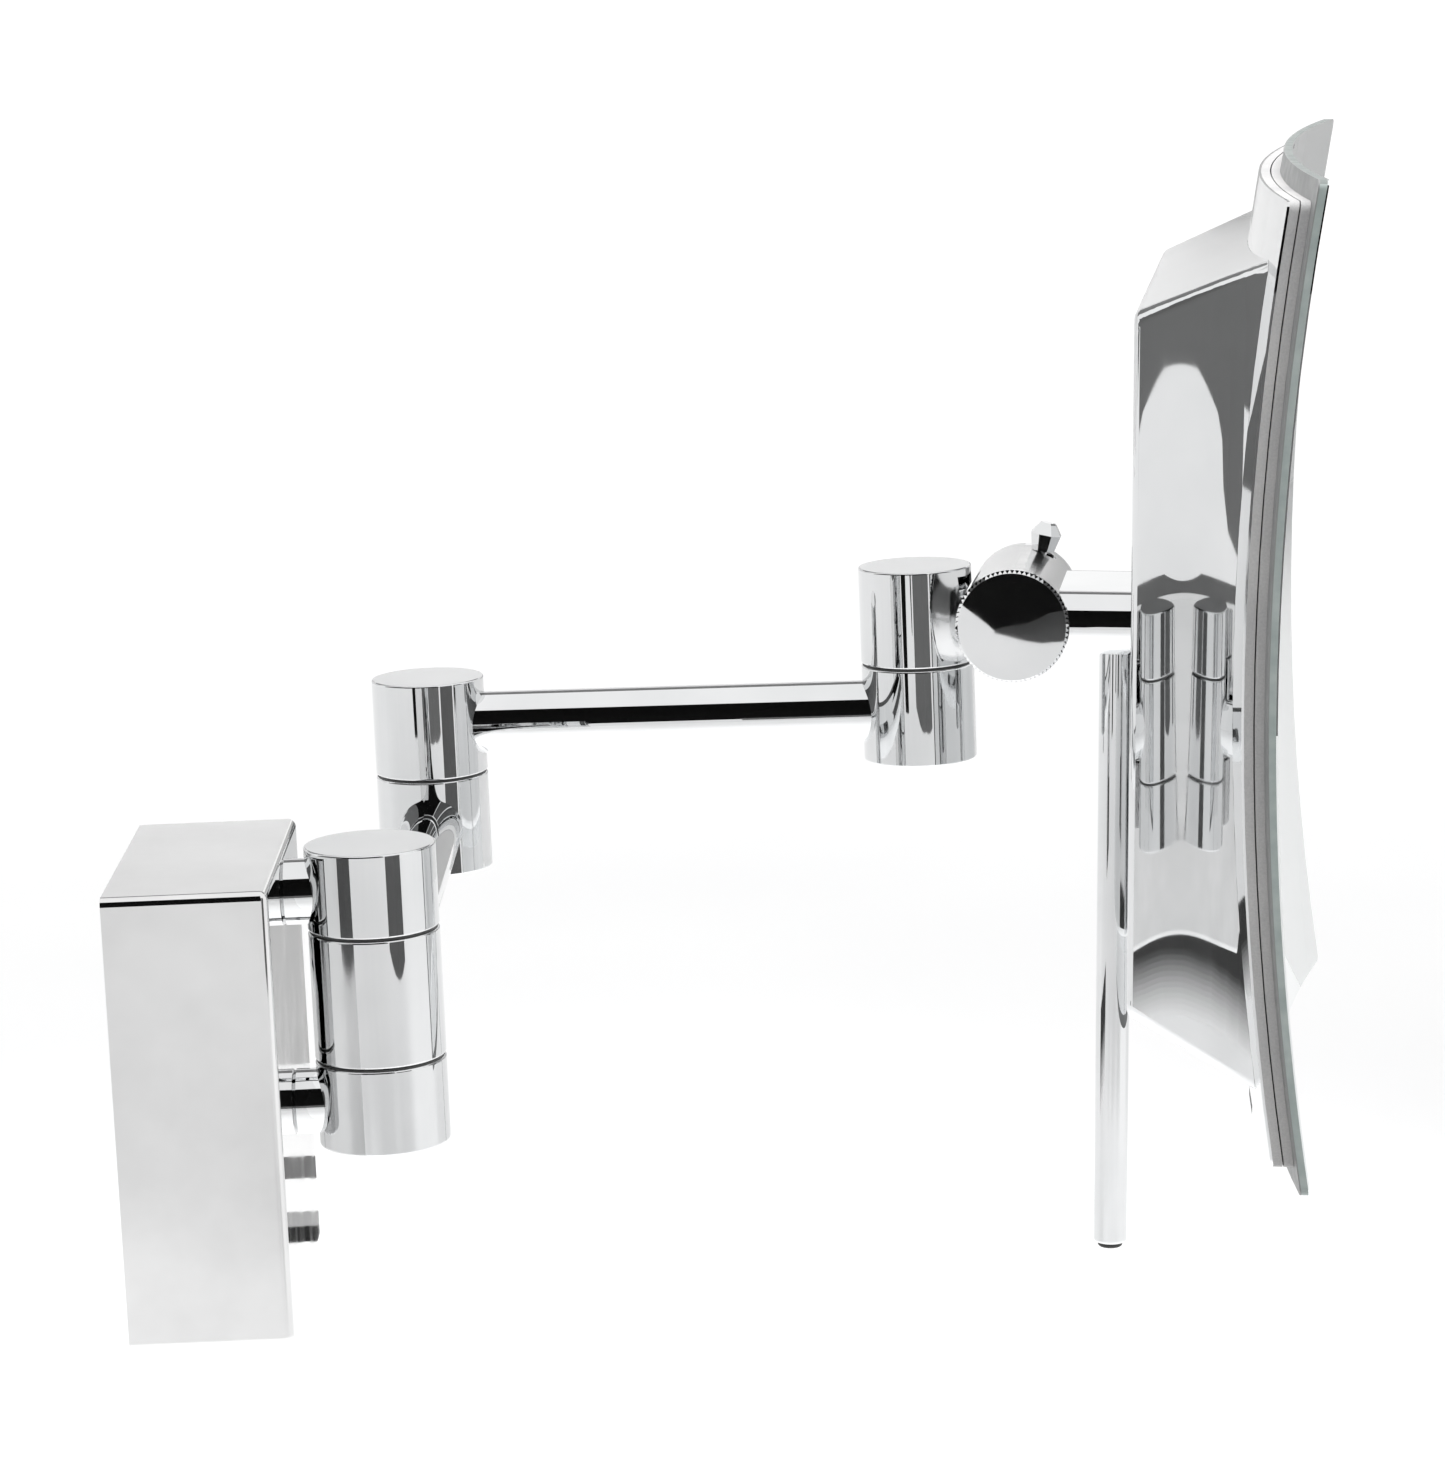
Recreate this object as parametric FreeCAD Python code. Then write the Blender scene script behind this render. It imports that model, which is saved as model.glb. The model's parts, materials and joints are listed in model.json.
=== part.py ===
"""Extendable shaving mirror: a hard-wired, lit, double-arm bathroom wall mirror.

Millimetres, +Z up. The origin is on the wall, at the centre of the wall box's back.
+X points out of the wall and +Y along it. The arms stand in their rest pose.
"""
import math
import os

import FreeCAD
import Part
from FreeCAD import Placement, Rotation, Vector

os.makedirs("parts", exist_ok=True)

# ---------------------------------------------------------------- driving dimensions
# Wall box and what it hides
BOX_HEIGHT = 86.0
BOX_WIDTH = 68.0
BOX_DEPTH = 30.5
BOX_WALL = 1.5
BOX_EDGE_RADIUS = 1.6
PLATE_THICKNESS = 2.0
PLATE_GAP = 0.3
PLATE_TAB_MARGIN = 6.0
WALL_SCREW_Y = 24.0
WALL_SCREW_Z = 32.0
WALL_SCREW_HOLE = 4.5
CABLE_HOLE = 16.0
CABLE_Z = 0.0
CABLE_BORE = 10.0
GROMMET_LIP = 2.0
GROMMET_LIP_THICKNESS = 1.2
BRACKET_WIDTH = 38.0
BRACKET_WEB_HEIGHT = 82.0
BRACKET_LEG_HEIGHT = 77.0
BRACKET_THICKNESS = 2.5
SET_SCREW_Y = 25.0
SET_SCREW_X = 9.0
SET_SCREW_RADIUS = 1.95
SET_SCREW_LENGTH = 5.0
SET_SCREW_KEY = 2.0
SET_SCREW_PLAY = 0.15
SET_SCREW_SINK = 0.2
DRIVER_X = (8.0, 21.5)
DRIVER_WIDTH = 28.0
DRIVER_Z = (-18.0, 34.0)
DRIVER_EDGE_RADIUS = 1.0
TERMINAL_X = (2.5, 13.5)
TERMINAL_WIDTH = 18.0
TERMINAL_Z = (-36.0, -22.0)
TERMINAL_PITCH = 9.0
TERMINAL_MOUTH_RADIUS = 1.6
TERMINAL_MOUTH_DEPTH = 8.0
TERMINAL_SCREW_RADIUS = 1.8
TERMINAL_SCREW_DEPTH = 4.5

# Pivots: every knuckle is the same turned bar
KNUCKLE_RADIUS = 12.5
KNUCKLE_EDGE = 0.4
WASHER_RADIUS = 12.2
WASHER_THICKNESS = 0.4
AXIAL_PLAY = 0.1
PIN_RADIUS = 4.0
PIN_PLAY = 0.05
PIN_BORE_RADIUS = 2.2
PIN_HEAD_RADIUS = 6.5
PIN_HEAD_HEIGHT = 4.0
PIN_HEAD_SINK = 0.8
PIN_SLOT_WIDTH = 1.6
PIN_SLOT_DEPTH = 1.5
PIN_REACH = 5.0
BLIND_BORE_END = 4.0

# First pivot: three knuckles on two posts
PIVOT1_X = 47.1
PIVOT1_BOTTOM = -13.7
PIVOT1_TOP = 44.3
PIVOT1_LOW_SEAM = 2.7
PIVOT1_HIGH_SEAM = 28.3
UPPER_POST_Z = 35.5
POST_RADIUS = 6.3
POST_CHAMFER = 0.35
POST_STUD_RADIUS = 2.5
POST_STUD_PLAY = 0.2
POST_STUD_TAIL = 1.0
POST_NUT_FLATS = 8.0
POST_NUT_HEIGHT = 4.0
POST_SPIGOT_RADIUS = 4.0
POST_SPIGOT_DEPTH = 4.0

# Arms
ARM_RADIUS = 6.9
ARM_BORE_RADIUS = 5.7
ARM_SOCKET_DEPTH = 5.0
WIRE_RADIUS = 1.8
ARM1_LENGTH = 161.0
ARM1_ANGLE = 88.9
ARM2_LENGTH = 109.5
ARM2_ANGLE = -4.2
SMALL_KNUCKLE_HEIGHT = 21.3

# Tilt joint
HEAD_ANGLE = -8.4
HEAD_NOSE_DOWN = 2.0
TILT_LIMIT = 20.0
DRUM_OFFSET = 22.8
DRUM_RADIUS = 11.9
DRUM_CLEARANCE = 0.35
DRUM_HALF_LENGTH = 22.0
NEAR_CAP = 2.4
FAR_CAP = 3.9
CAP_GAP = 0.1
CAP_TEETH = 72
CAP_RADIUS = 12.3
CAP_TOOTH_DEPTH = 0.6
CAP_TOOTH_WIDTH = 0.9
CAP_CHAMFER = 0.6
CAP_FAR_EDGE = 0.5
NEAR_SPIGOT_RADIUS = 8.0
NEAR_SPIGOT_LENGTH = 1.5
FAR_RING_RADIUS = 10.6
FAR_RING_BORE = 9.7
FAR_RING_LENGTH = 1.1
TONGUE_HEIGHT = 7.6
TONGUE_WIDTH = 11.0
TONGUE_ROOT = 6.2
TONGUE_EYE_RADIUS = 8.5
TONGUE_POCKET_RADIUS = 9.2
TONGUE_POCKET_WIDTH = 12.8
TONGUE_SLOT_PLAY = 0.4
FRICTION_WASHER = 0.8
TILT_AXLE_RADIUS = 3.0
AXLE_HEAD_RADIUS = 5.0
AXLE_HEAD_HEIGHT = 3.0
AXLE_HEAD_Y = -13.5
AXLE_END_Y = 9.0
AXLE_KEY = 4.0
AXLE_KEY_DEPTH = 1.8

# Switch in the drum
SWITCH_LEAN = 24.0
SWITCH_Y = 14.2
SWITCH_PIVOT = 9.0
SWITCH_THROW = 26.0
SWITCH_BODY = (7.0, 6.0)
SWITCH_BODY_FLOOR = 4.0
SWITCH_SPLIT = 8.8
SWITCH_WELL_FLOOR = 6.8
SWITCH_POCKET_WIDTH = 9.2
SWITCH_POCKET_FLOOR = 3.4
SWITCH_POCKET_START = 10.5
SWITCH_BUSHING_RADIUS = 2.8
SWITCH_BUSHING_SINK = 0.4
SWITCH_BORE_RADIUS = 2.2
TRUNNION_RADIUS = 1.5
TRUNNION_WIDTH = 3.0
STEM_RADIUS = 1.0
LEVER_BASE = 3.3
LEVER_LENGTH = 6.3
LEVER_SHOULDER = 0.6
LEVER_BASE_RADIUS = 2.7
LEVER_SHOULDER_RADIUS = 3.6
LEVER_CROWN_RADIUS = 2.0
LEVER_TIP_RADIUS = 1.5
LEVER_TIP_HEIGHT = 0.3

# Head arm and handle
BAR_HEIGHT = 13.8
BAR_WIDTH = 42.0
BAR_SCREW_Y = 14.0
BAR_SCREW_RADIUS = 2.0
BAR_SCREW_HEAD_RADIUS = 3.8
BAR_SCREW_HEAD_HEIGHT = 2.4
BAR_SCREW_DEPTH = 8.0
BAR_SCREW_KEY = 2.5
BAR_SCREW_KEY_DEPTH = 1.4
WIRE_HOLE_RADIUS = 2.5
HANDLE_X = 21.5
HANDLE_RADIUS = 3.7
HANDLE_LENGTH = 137.0
HANDLE_END_RADIUS = 0.8
HANDLE_SPIGOT_RADIUS = 2.0
HANDLE_SPIGOT_DEPTH = 6.0
TIP_PLUG_RADIUS = 1.6
TIP_PLUG_LENGTH = 3.0
TIP_LIP_RADIUS = 2.8
TIP_LIP_HEIGHT = 1.1
TIP_LIP_EDGE = 0.7

# Mirror head, measured from the tilt axis
GLASS_SIZE = 204.0
GLASS_CORNER = 2.0
GLASS_THICKNESS = 2.0
GLASS_RADIUS = 640.0
GLASS_CORNER_REACH = 66.5
BAND_SIZE = 195.0
BAND_CORNER = 2.0
BAND_THICKNESS = 1.85
BAND_GROOVE = 0.3
BAND_GROOVE_DEPTH = 0.8
SKIN_THICKNESS = 0.5
SKIN_WINDOW = 120.0
SKIN_WINDOW_CORNER = 6.0
HEAD_FRONT_X = 90.0
HEAD_BACK_X = 20.0
HOUSING_REAR_X = 27.9
HOUSING_FRONT_X = 65.0
HOUSING_REAR_SIZE = 146.5
HOUSING_SLOPE = 0.434
HOUSING_WALL = 1.5
HOUSING_REAR_CORNER = 3.4
HOUSING_FRONT_CORNER = 1.6
HOUSING_INNER_CORNER = 2.4
HOUSING_EDGE_RADIUS = 2.2
LED_BOARD_X = 34.0
LED_BOARD_SIZE = 110.0
LED_BOARD_HOLE = 60.0
LED_BOARD_CORNER = 3.0
LED_BOARD_THICKNESS = 1.6
LED_RING = 43.0
LED_SIZE = 3.5
LED_HEIGHT = 0.9
LED_PITCH = 30.0
SPACER_PLACE = 45.0
SPACER_RADIUS = 3.0

# How far a cutting tool runs past the face that it opens
PAST = 1.0

X_AXIS = Vector(1, 0, 0)
Y_AXIS = Vector(0, 1, 0)
Z_AXIS = Vector(0, 0, 1)
ORIGIN = Vector(0, 0, 0)

# ---------------------------------------------------------------- derived places
BOX_FRONT = BOX_DEPTH - BOX_WALL
BOX_FLOOR = -BOX_HEIGHT / 2
ARM1_Z = (PIVOT1_LOW_SEAM + PIVOT1_HIGH_SEAM) / 2
PIVOT2_BOTTOM = ARM1_Z - SMALL_KNUCKLE_HEIGHT / 2
PIVOT2_SEAM = PIVOT2_BOTTOM + SMALL_KNUCKLE_HEIGHT
KNUCKLE_STEP = SMALL_KNUCKLE_HEIGHT + WASHER_THICKNESS + AXIAL_PLAY
ARM2_Z = ARM1_Z + KNUCKLE_STEP
PIVOT3_BOTTOM = PIVOT2_BOTTOM + KNUCKLE_STEP
PIVOT3_SEAM = PIVOT3_BOTTOM + SMALL_KNUCKLE_HEIGHT
DRUM_Z = ARM2_Z + KNUCKLE_STEP
LOWER_POST_Z = (PIVOT1_BOTTOM + PIVOT1_LOW_SEAM) / 2
POST_HEIGHTS = (UPPER_POST_Z, LOWER_POST_Z)
DRUM_LOW = -DRUM_HALF_LENGTH + NEAR_CAP
DRUM_HIGH = DRUM_HALF_LENGTH - FAR_CAP
BAR_END_X = HOUSING_REAR_X
BAR_FLOOR = -BAR_HEIGHT / 2

WALL = Placement()
ARM1 = Placement(Vector(PIVOT1_X, 0, 0), Rotation(Z_AXIS, ARM1_ANGLE))
ARM2 = Placement(ARM1.multVec(Vector(ARM1_LENGTH, 0, 0)), Rotation(Z_AXIS, ARM2_ANGLE))
SWIVEL = Placement(ARM2.multVec(Vector(ARM2_LENGTH, 0, 0)), Rotation(Z_AXIS, HEAD_ANGLE))
PIVOT2 = Placement(ARM2.Base, ARM1.Rotation)
PIVOT3 = Placement(SWIVEL.Base, ARM2.Rotation)
HEAD = Placement(
    SWIVEL.multVec(Vector(DRUM_OFFSET, 0, DRUM_Z)),
    Rotation(Z_AXIS, HEAD_ANGLE).multiply(Rotation(Y_AXIS, HEAD_NOSE_DOWN)),
)
# Switch frame: its z points out of the drum, through the middle of the lever's throw
SWITCH = HEAD.multiply(Placement(Vector(0, SWITCH_Y, 0), Rotation(Y_AXIS, SWITCH_LEAN)))


# ---------------------------------------------------------------- helpers
def cylinder(radius, start, end):
    """A round bar from one point to another."""
    line = end.sub(start)
    return Part.makeCylinder(radius, line.Length, start, line)


def vertical(radius, low, high, x=0.0, y=0.0):
    return cylinder(radius, Vector(x, y, low), Vector(x, y, high))


def along_x(radius, start, end, y=0.0, z=0.0):
    return cylinder(radius, Vector(start, y, z), Vector(end, y, z))


def along_y(radius, start, end, x=0.0, z=0.0):
    return cylinder(radius, Vector(x, start, z), Vector(x, end, z))


def block(x, y, z):
    """A box from its three (low, high) spans."""
    size = [high - low for low, high in (x, y, z)]
    return Part.makeBox(size[0], size[1], size[2], Vector(x[0], y[0], z[0]))


def centred(span):
    return -span / 2, span / 2


def cut_all(shape, tools):
    for tool in tools:
        shape = shape.cut(tool)
    return shape


def round_edges(shape, radius, wanted):
    return shape.makeFillet(radius, [edge for edge in shape.Edges if wanted(edge)])


def rounded_square(size, corner, x):
    """A closed square outline with round corners, standing across X."""
    half = size / 2
    flat = half - corner
    edges = []
    for quarter in range(4):
        turn = Rotation(X_AXIS, 90.0 * quarter)
        straight = [Vector(x, half, -flat), Vector(x, half, flat)]
        diagonal = flat + corner / math.sqrt(2)
        arc = [Vector(x, half, flat), Vector(x, diagonal, diagonal), Vector(x, flat, half)]
        edges.append(Part.makeLine(*[turn.multVec(point) for point in straight]))
        edges.append(Part.Arc(*[turn.multVec(point) for point in arc]).toShape())
    return Part.Wire(edges)


def prism(size, corner, low, high):
    face = Part.Face(rounded_square(size, corner, low))
    return face.extrude(Vector(high - low, 0, 0))


def hexagon(across_flats, start, length):
    """A hexagonal bar along X."""
    radius = across_flats / math.sqrt(3)
    points = []
    for corner in range(7):
        angle = math.radians(60 * corner)
        points.append(start.add(Vector(0, radius * math.cos(angle), radius * math.sin(angle))))
    return Part.Face(Part.makePolygon(points)).extrude(Vector(length, 0, 0))


def save(name, shape, frame=WALL):
    """Write one piece as its own STEP file, moved from its own frame to the whole's."""
    moved = shape.copy()
    moved.Placement = frame.multiply(moved.Placement)
    moved.exportStep(f"parts/{name}.step")


# ---------------------------------------------------------------- wall unit
def wall_box():
    outer = block((0, BOX_DEPTH), centred(BOX_WIDTH), centred(BOX_HEIGHT))
    outer = round_edges(outer, BOX_EDGE_RADIUS, lambda edge: edge.BoundBox.XMax > PAST)
    inner = block(
        (-PAST, BOX_FRONT),
        centred(BOX_WIDTH - 2 * BOX_WALL),
        centred(BOX_HEIGHT - 2 * BOX_WALL),
    )
    tools = [inner]
    for z in POST_HEIGHTS:
        tools.append(along_x(POST_STUD_RADIUS + POST_STUD_PLAY, BOX_FRONT - PAST, BOX_DEPTH + PAST, z=z))
    hole = SET_SCREW_RADIUS + SET_SCREW_PLAY
    for side in (-1, 1):
        high = BOX_FLOOR + BOX_WALL + PAST
        tools.append(vertical(hole, BOX_FLOOR - PAST, high, SET_SCREW_X, side * SET_SCREW_Y))
    return cut_all(outer, tools)


def back_plate():
    height = BOX_HEIGHT - 2 * BOX_WALL - 2 * PLATE_GAP
    width = BOX_WIDTH - 2 * BOX_WALL - 2 * PLATE_GAP
    plate = block((0, PLATE_THICKNESS), centred(width), centred(height))
    tab_width = 2 * (SET_SCREW_Y + PLATE_TAB_MARGIN)
    for side in (-1, 1):
        edge = side * height / 2
        span = sorted((edge, edge - side * PLATE_THICKNESS))
        plate = plate.fuse(block((0, SET_SCREW_X + PLATE_TAB_MARGIN), centred(tab_width), span))
    past = PLATE_THICKNESS + PAST
    tools = [along_x(CABLE_HOLE / 2, -PAST, past, z=CABLE_Z)]
    for side in (-1, 1):
        for level in (-1, 1):
            y = side * WALL_SCREW_Y
            tools.append(along_x(WALL_SCREW_HOLE / 2, -PAST, past, y, level * WALL_SCREW_Z))
        low = -height / 2
        hole = vertical(SET_SCREW_RADIUS, low - PAST, low + past, SET_SCREW_X, side * SET_SCREW_Y)
        tools.append(hole)
    return cut_all(plate.removeSplitter(), tools)


def arm_bracket():
    """A steel channel, welded to the back plate, that takes the pull of both posts."""
    web = block(
        (BOX_FRONT - BRACKET_THICKNESS, BOX_FRONT),
        centred(BRACKET_WIDTH),
        centred(BRACKET_WEB_HEIGHT),
    )
    legs = block((PLATE_THICKNESS, BOX_FRONT), centred(BRACKET_WIDTH), centred(BRACKET_LEG_HEIGHT))
    inner = BRACKET_WIDTH - 2 * BRACKET_THICKNESS
    legs = legs.cut(
        block((0, BOX_FRONT + PAST), centred(inner), centred(BRACKET_LEG_HEIGHT + 2 * PAST))
    )
    hole = POST_STUD_RADIUS + POST_STUD_PLAY
    start = BOX_FRONT - BRACKET_THICKNESS - PAST
    studs = [along_x(hole, start, BOX_FRONT + PAST, z=z) for z in POST_HEIGHTS]
    return cut_all(web.fuse(legs).removeSplitter(), studs)


def set_screws():
    low = BOX_FLOOR + SET_SCREW_SINK
    screws = []
    for side in (-1, 1):
        y = side * SET_SCREW_Y
        screw = vertical(SET_SCREW_RADIUS, low, low + SET_SCREW_LENGTH, SET_SCREW_X, y)
        socket = hexagon(SET_SCREW_KEY, ORIGIN, SET_SCREW_KEY + PAST)
        socket.rotate(ORIGIN, Y_AXIS, -90)
        socket.translate(Vector(SET_SCREW_X, y, low - PAST))
        screws.append(screw.cut(socket))
    return Part.makeCompound(screws)


def post(z):
    """A turned post: stud through the box, round body, spigot in the knuckle."""
    body = along_x(POST_RADIUS, BOX_DEPTH, PIVOT1_X, z=z)
    box_end = [edge for edge in body.Edges if edge.BoundBox.XMax < BOX_DEPTH + CAP_GAP]
    body = body.makeChamfer(POST_CHAMFER, box_end)
    body = body.cut(vertical(KNUCKLE_RADIUS, z - 2 * POST_RADIUS, z + 2 * POST_RADIUS, PIVOT1_X))
    stud_start = BOX_FRONT - BRACKET_THICKNESS - POST_NUT_HEIGHT - POST_STUD_TAIL
    stud = along_x(POST_STUD_RADIUS, stud_start, BOX_DEPTH + PAST, z=z)
    spigot_end = PIVOT1_X - KNUCKLE_RADIUS + POST_SPIGOT_DEPTH
    spigot = along_x(POST_SPIGOT_RADIUS, BOX_DEPTH, spigot_end, z=z)
    return body.fuse(stud).fuse(spigot).removeSplitter()


def post_nut(z):
    start = BOX_FRONT - BRACKET_THICKNESS - POST_NUT_HEIGHT
    nut = hexagon(POST_NUT_FLATS, Vector(start, 0, z), POST_NUT_HEIGHT)
    return nut.cut(along_x(POST_STUD_RADIUS, start - PAST, start + POST_NUT_HEIGHT + PAST, z=z))


def led_driver():
    """The sealed supply that feeds the lamps, taped inside the channel."""
    case = block(DRIVER_X, centred(DRIVER_WIDTH), DRIVER_Z)
    return round_edges(case, DRIVER_EDGE_RADIUS, lambda edge: True)


def terminal_block():
    """A two-way screw terminal with its wire mouths facing down."""
    body = block(TERMINAL_X, centred(TERMINAL_WIDTH), TERMINAL_Z)
    low, high = TERMINAL_Z
    front = TERMINAL_X[1]
    tools = []
    for y in centred(TERMINAL_PITCH):
        mouth_x = sum(TERMINAL_X) / 2
        mouth = vertical(TERMINAL_MOUTH_RADIUS, low - PAST, low + TERMINAL_MOUTH_DEPTH, mouth_x, y)
        start = front - TERMINAL_SCREW_DEPTH
        screw = along_x(TERMINAL_SCREW_RADIUS, start, front + PAST, y, (low + high) / 2)
        tools += [mouth, screw]
    return cut_all(body, tools)


def cable_grommet():
    """A rubber ring that lines the cable hole, with a lip inside the box."""
    lip_end = PLATE_THICKNESS + GROMMET_LIP_THICKNESS
    sleeve = along_x(CABLE_HOLE / 2, 0, lip_end, z=CABLE_Z)
    lip = along_x(CABLE_HOLE / 2 + GROMMET_LIP, PLATE_THICKNESS, lip_end, z=CABLE_Z)
    return sleeve.fuse(lip).cut(along_x(CABLE_BORE / 2, -PAST, lip_end + PAST, z=CABLE_Z))


# ---------------------------------------------------------------- knuckles and pivots
def knuckle(low, high, shaft=(), socket_z=None, reverse=False):
    """A turned knuckle, with round steps bored along its axis and a socket for its arm.

    shaft holds (radius, from, to) for each step. The socket opens towards +X, or towards
    -X when reverse is set.
    """
    body = vertical(KNUCKLE_RADIUS, low, high)
    body = round_edges(body, KNUCKLE_EDGE, lambda edge: edge.Curve.TypeId.endswith("Circle"))
    for radius, start, end in shaft:
        body = body.cut(vertical(radius, start, end))
    if socket_z is not None:
        face = KNUCKLE_RADIUS + PAST
        floor = KNUCKLE_RADIUS - ARM_SOCKET_DEPTH
        span = (-face, -floor) if reverse else (floor, face)
        body = body.cut(along_x(ARM_RADIUS, span[0], span[1], z=socket_z))
    return body


def washer(low):
    high = low + WASHER_THICKNESS
    ring = vertical(WASHER_RADIUS, low, high)
    return ring.cut(vertical(PIN_RADIUS, low - PAST, high + PAST))


def pivot_pin(bottom, top):
    """A hollow shoulder pin, with its head sunk in the lowest knuckle, that passes the wire."""
    pin = vertical(PIN_RADIUS, bottom, top)
    pin = pin.fuse(vertical(PIN_HEAD_RADIUS, bottom, bottom + PIN_HEAD_HEIGHT))
    slot = block(
        centred(2 * PIN_HEAD_RADIUS + 2 * PAST),
        centred(PIN_SLOT_WIDTH),
        (bottom - PAST, bottom + PIN_SLOT_DEPTH),
    )
    bore = vertical(PIN_BORE_RADIUS, bottom - PAST, top + PAST)
    return cut_all(pin.removeSplitter(), [bore, slot])


def arm_tube(length, z):
    """A tube that ends in the sockets of the knuckles at both of its ends."""
    start = KNUCKLE_RADIUS - ARM_SOCKET_DEPTH
    tube = along_x(ARM_RADIUS, start, length - start, z=z)
    return tube.cut(along_x(ARM_BORE_RADIUS, start - PAST, length, z=z))


def arm_wire(length, z):
    """The twin lead inside the tube, lying on the tube's floor."""
    rest = z - ARM_BORE_RADIUS + WIRE_RADIUS
    return along_x(WIRE_RADIUS, KNUCKLE_RADIUS, length - KNUCKLE_RADIUS, z=rest)


def pin_head_recess(bottom):
    return PIN_HEAD_RADIUS, bottom - PAST, bottom + PIN_HEAD_SINK + PIN_HEAD_HEIGHT


def lower_knuckle(bottom, reverse):
    """A knuckle that holds the pin."""
    high = bottom + SMALL_KNUCKLE_HEIGHT
    shaft = [pin_head_recess(bottom), (PIN_RADIUS, bottom, high + PAST)]
    return knuckle(bottom, high, shaft, (bottom + high) / 2, reverse)


def upper_knuckle(bottom):
    """A knuckle that turns on the pin, with an arm that leaves it towards +X."""
    high = bottom + SMALL_KNUCKLE_HEIGHT
    shaft = [(PIN_RADIUS + PIN_PLAY, bottom - PAST, high - BLIND_BORE_END)]
    return knuckle(bottom, high, shaft, (bottom + high) / 2)


def pivot1_post_socket(z):
    face = PIVOT1_X - KNUCKLE_RADIUS
    return along_x(POST_SPIGOT_RADIUS, face - PAST, face + POST_SPIGOT_DEPTH, z=z)


def pivot1_top_knuckle():
    shaft = [(PIN_RADIUS, PIVOT1_HIGH_SEAM - PAST, PIVOT1_TOP - BLIND_BORE_END)]
    body = knuckle(PIVOT1_HIGH_SEAM, PIVOT1_TOP, shaft)
    body.translate(Vector(PIVOT1_X, 0, 0))
    return body.cut(pivot1_post_socket(UPPER_POST_Z))


def pivot1_bottom_knuckle():
    shaft = [pin_head_recess(PIVOT1_BOTTOM), (PIN_RADIUS, PIVOT1_BOTTOM, PIVOT1_LOW_SEAM + PAST)]
    body = knuckle(PIVOT1_BOTTOM, PIVOT1_LOW_SEAM, shaft)
    body.translate(Vector(PIVOT1_X, 0, 0))
    return body.cut(pivot1_post_socket(LOWER_POST_Z))


def pivot1_pin():
    pin = pivot_pin(PIVOT1_BOTTOM + PIN_HEAD_SINK, PIVOT1_TOP - BLIND_BORE_END - PAST)
    pin.translate(Vector(PIVOT1_X, 0, 0))
    return pin


def pivot1_washers():
    low = washer(PIVOT1_LOW_SEAM)
    high = washer(PIVOT1_HIGH_SEAM - WASHER_THICKNESS)
    pair = Part.makeCompound([low, high])
    pair.translate(Vector(PIVOT1_X, 0, 0))
    return pair


def pivot1_barrel():
    inset = WASHER_THICKNESS + AXIAL_PLAY
    low = PIVOT1_LOW_SEAM + inset
    high = PIVOT1_HIGH_SEAM - inset
    return knuckle(low, high, [(PIN_RADIUS + PIN_PLAY, low - PAST, high + PAST)], ARM1_Z)


# ---------------------------------------------------------------- swivel with its tongue
def pivot3_upper_knuckle():
    """The top knuckle of the last pivot, hollowed on one side to clear the drum."""
    low = PIVOT3_SEAM + WASHER_THICKNESS + AXIAL_PLAY
    high = low + SMALL_KNUCKLE_HEIGHT
    body = knuckle(low, high, [(PIN_RADIUS + PIN_PLAY, low - PAST, high - BLIND_BORE_END)])
    reach = DRUM_HALF_LENGTH + PAST
    saddle = along_y(DRUM_RADIUS + DRUM_CLEARANCE, -reach, reach, DRUM_OFFSET, DRUM_Z)
    return cut_all(body, [saddle, tongue_bar()])


def tongue_bar():
    low, high = centred(TONGUE_HEIGHT)
    return block((TONGUE_ROOT, DRUM_OFFSET), centred(TONGUE_WIDTH), (DRUM_Z + low, DRUM_Z + high))


def tilt_axle_hole():
    reach = DRUM_HALF_LENGTH
    return along_y(TILT_AXLE_RADIUS + PIN_PLAY, -reach, reach, DRUM_OFFSET, DRUM_Z)


def tilt_tongue():
    """A flat lug, brazed into the knuckle, with the eye that the head tilts on."""
    half = TONGUE_WIDTH / 2
    eye = along_y(TONGUE_EYE_RADIUS, -half, half, DRUM_OFFSET, DRUM_Z)
    return tongue_bar().fuse(eye).removeSplitter().cut(tilt_axle_hole())


def friction_washers():
    """Two hard plastic discs that hold the head at the angle it is left at."""
    discs = []
    for side in (-1, 1):
        inner = side * TONGUE_WIDTH / 2
        outer = inner + side * FRICTION_WASHER
        disc = along_y(TONGUE_EYE_RADIUS, inner, outer, DRUM_OFFSET, DRUM_Z)
        discs.append(disc.cut(tilt_axle_hole()))
    return Part.makeCompound(discs)


# ---------------------------------------------------------------- drum, caps and axle
def drum_slot():
    """The mouth that the tongue swings in, from one end of the tilt to the other."""
    span = centred(TONGUE_HEIGHT + 2 * TONGUE_SLOT_PLAY)
    width = centred(TONGUE_POCKET_WIDTH)
    mouth = along_y(TONGUE_POCKET_RADIUS, width[0], width[1])
    limit = TILT_LIMIT + 1.0
    for angle in (-limit, 0, limit):
        strip = block((-1.25 * DRUM_RADIUS, 0), width, span)
        strip.rotate(ORIGIN, Y_AXIS, angle)
        mouth = mouth.fuse(strip)
    return mouth.removeSplitter()


def switch_pocket():
    pocket = block(
        centred(SWITCH_POCKET_WIDTH),
        (SWITCH_POCKET_START, DRUM_HIGH + PAST),
        (SWITCH_POCKET_FLOOR, SWITCH_PIVOT),
    )
    hole = vertical(SWITCH_BUSHING_RADIUS, SWITCH_PIVOT - PAST, DRUM_RADIUS + PAST, 0, SWITCH_Y)
    tool = pocket.fuse(hole)
    tool.rotate(ORIGIN, Y_AXIS, SWITCH_LEAN)
    return tool


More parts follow.
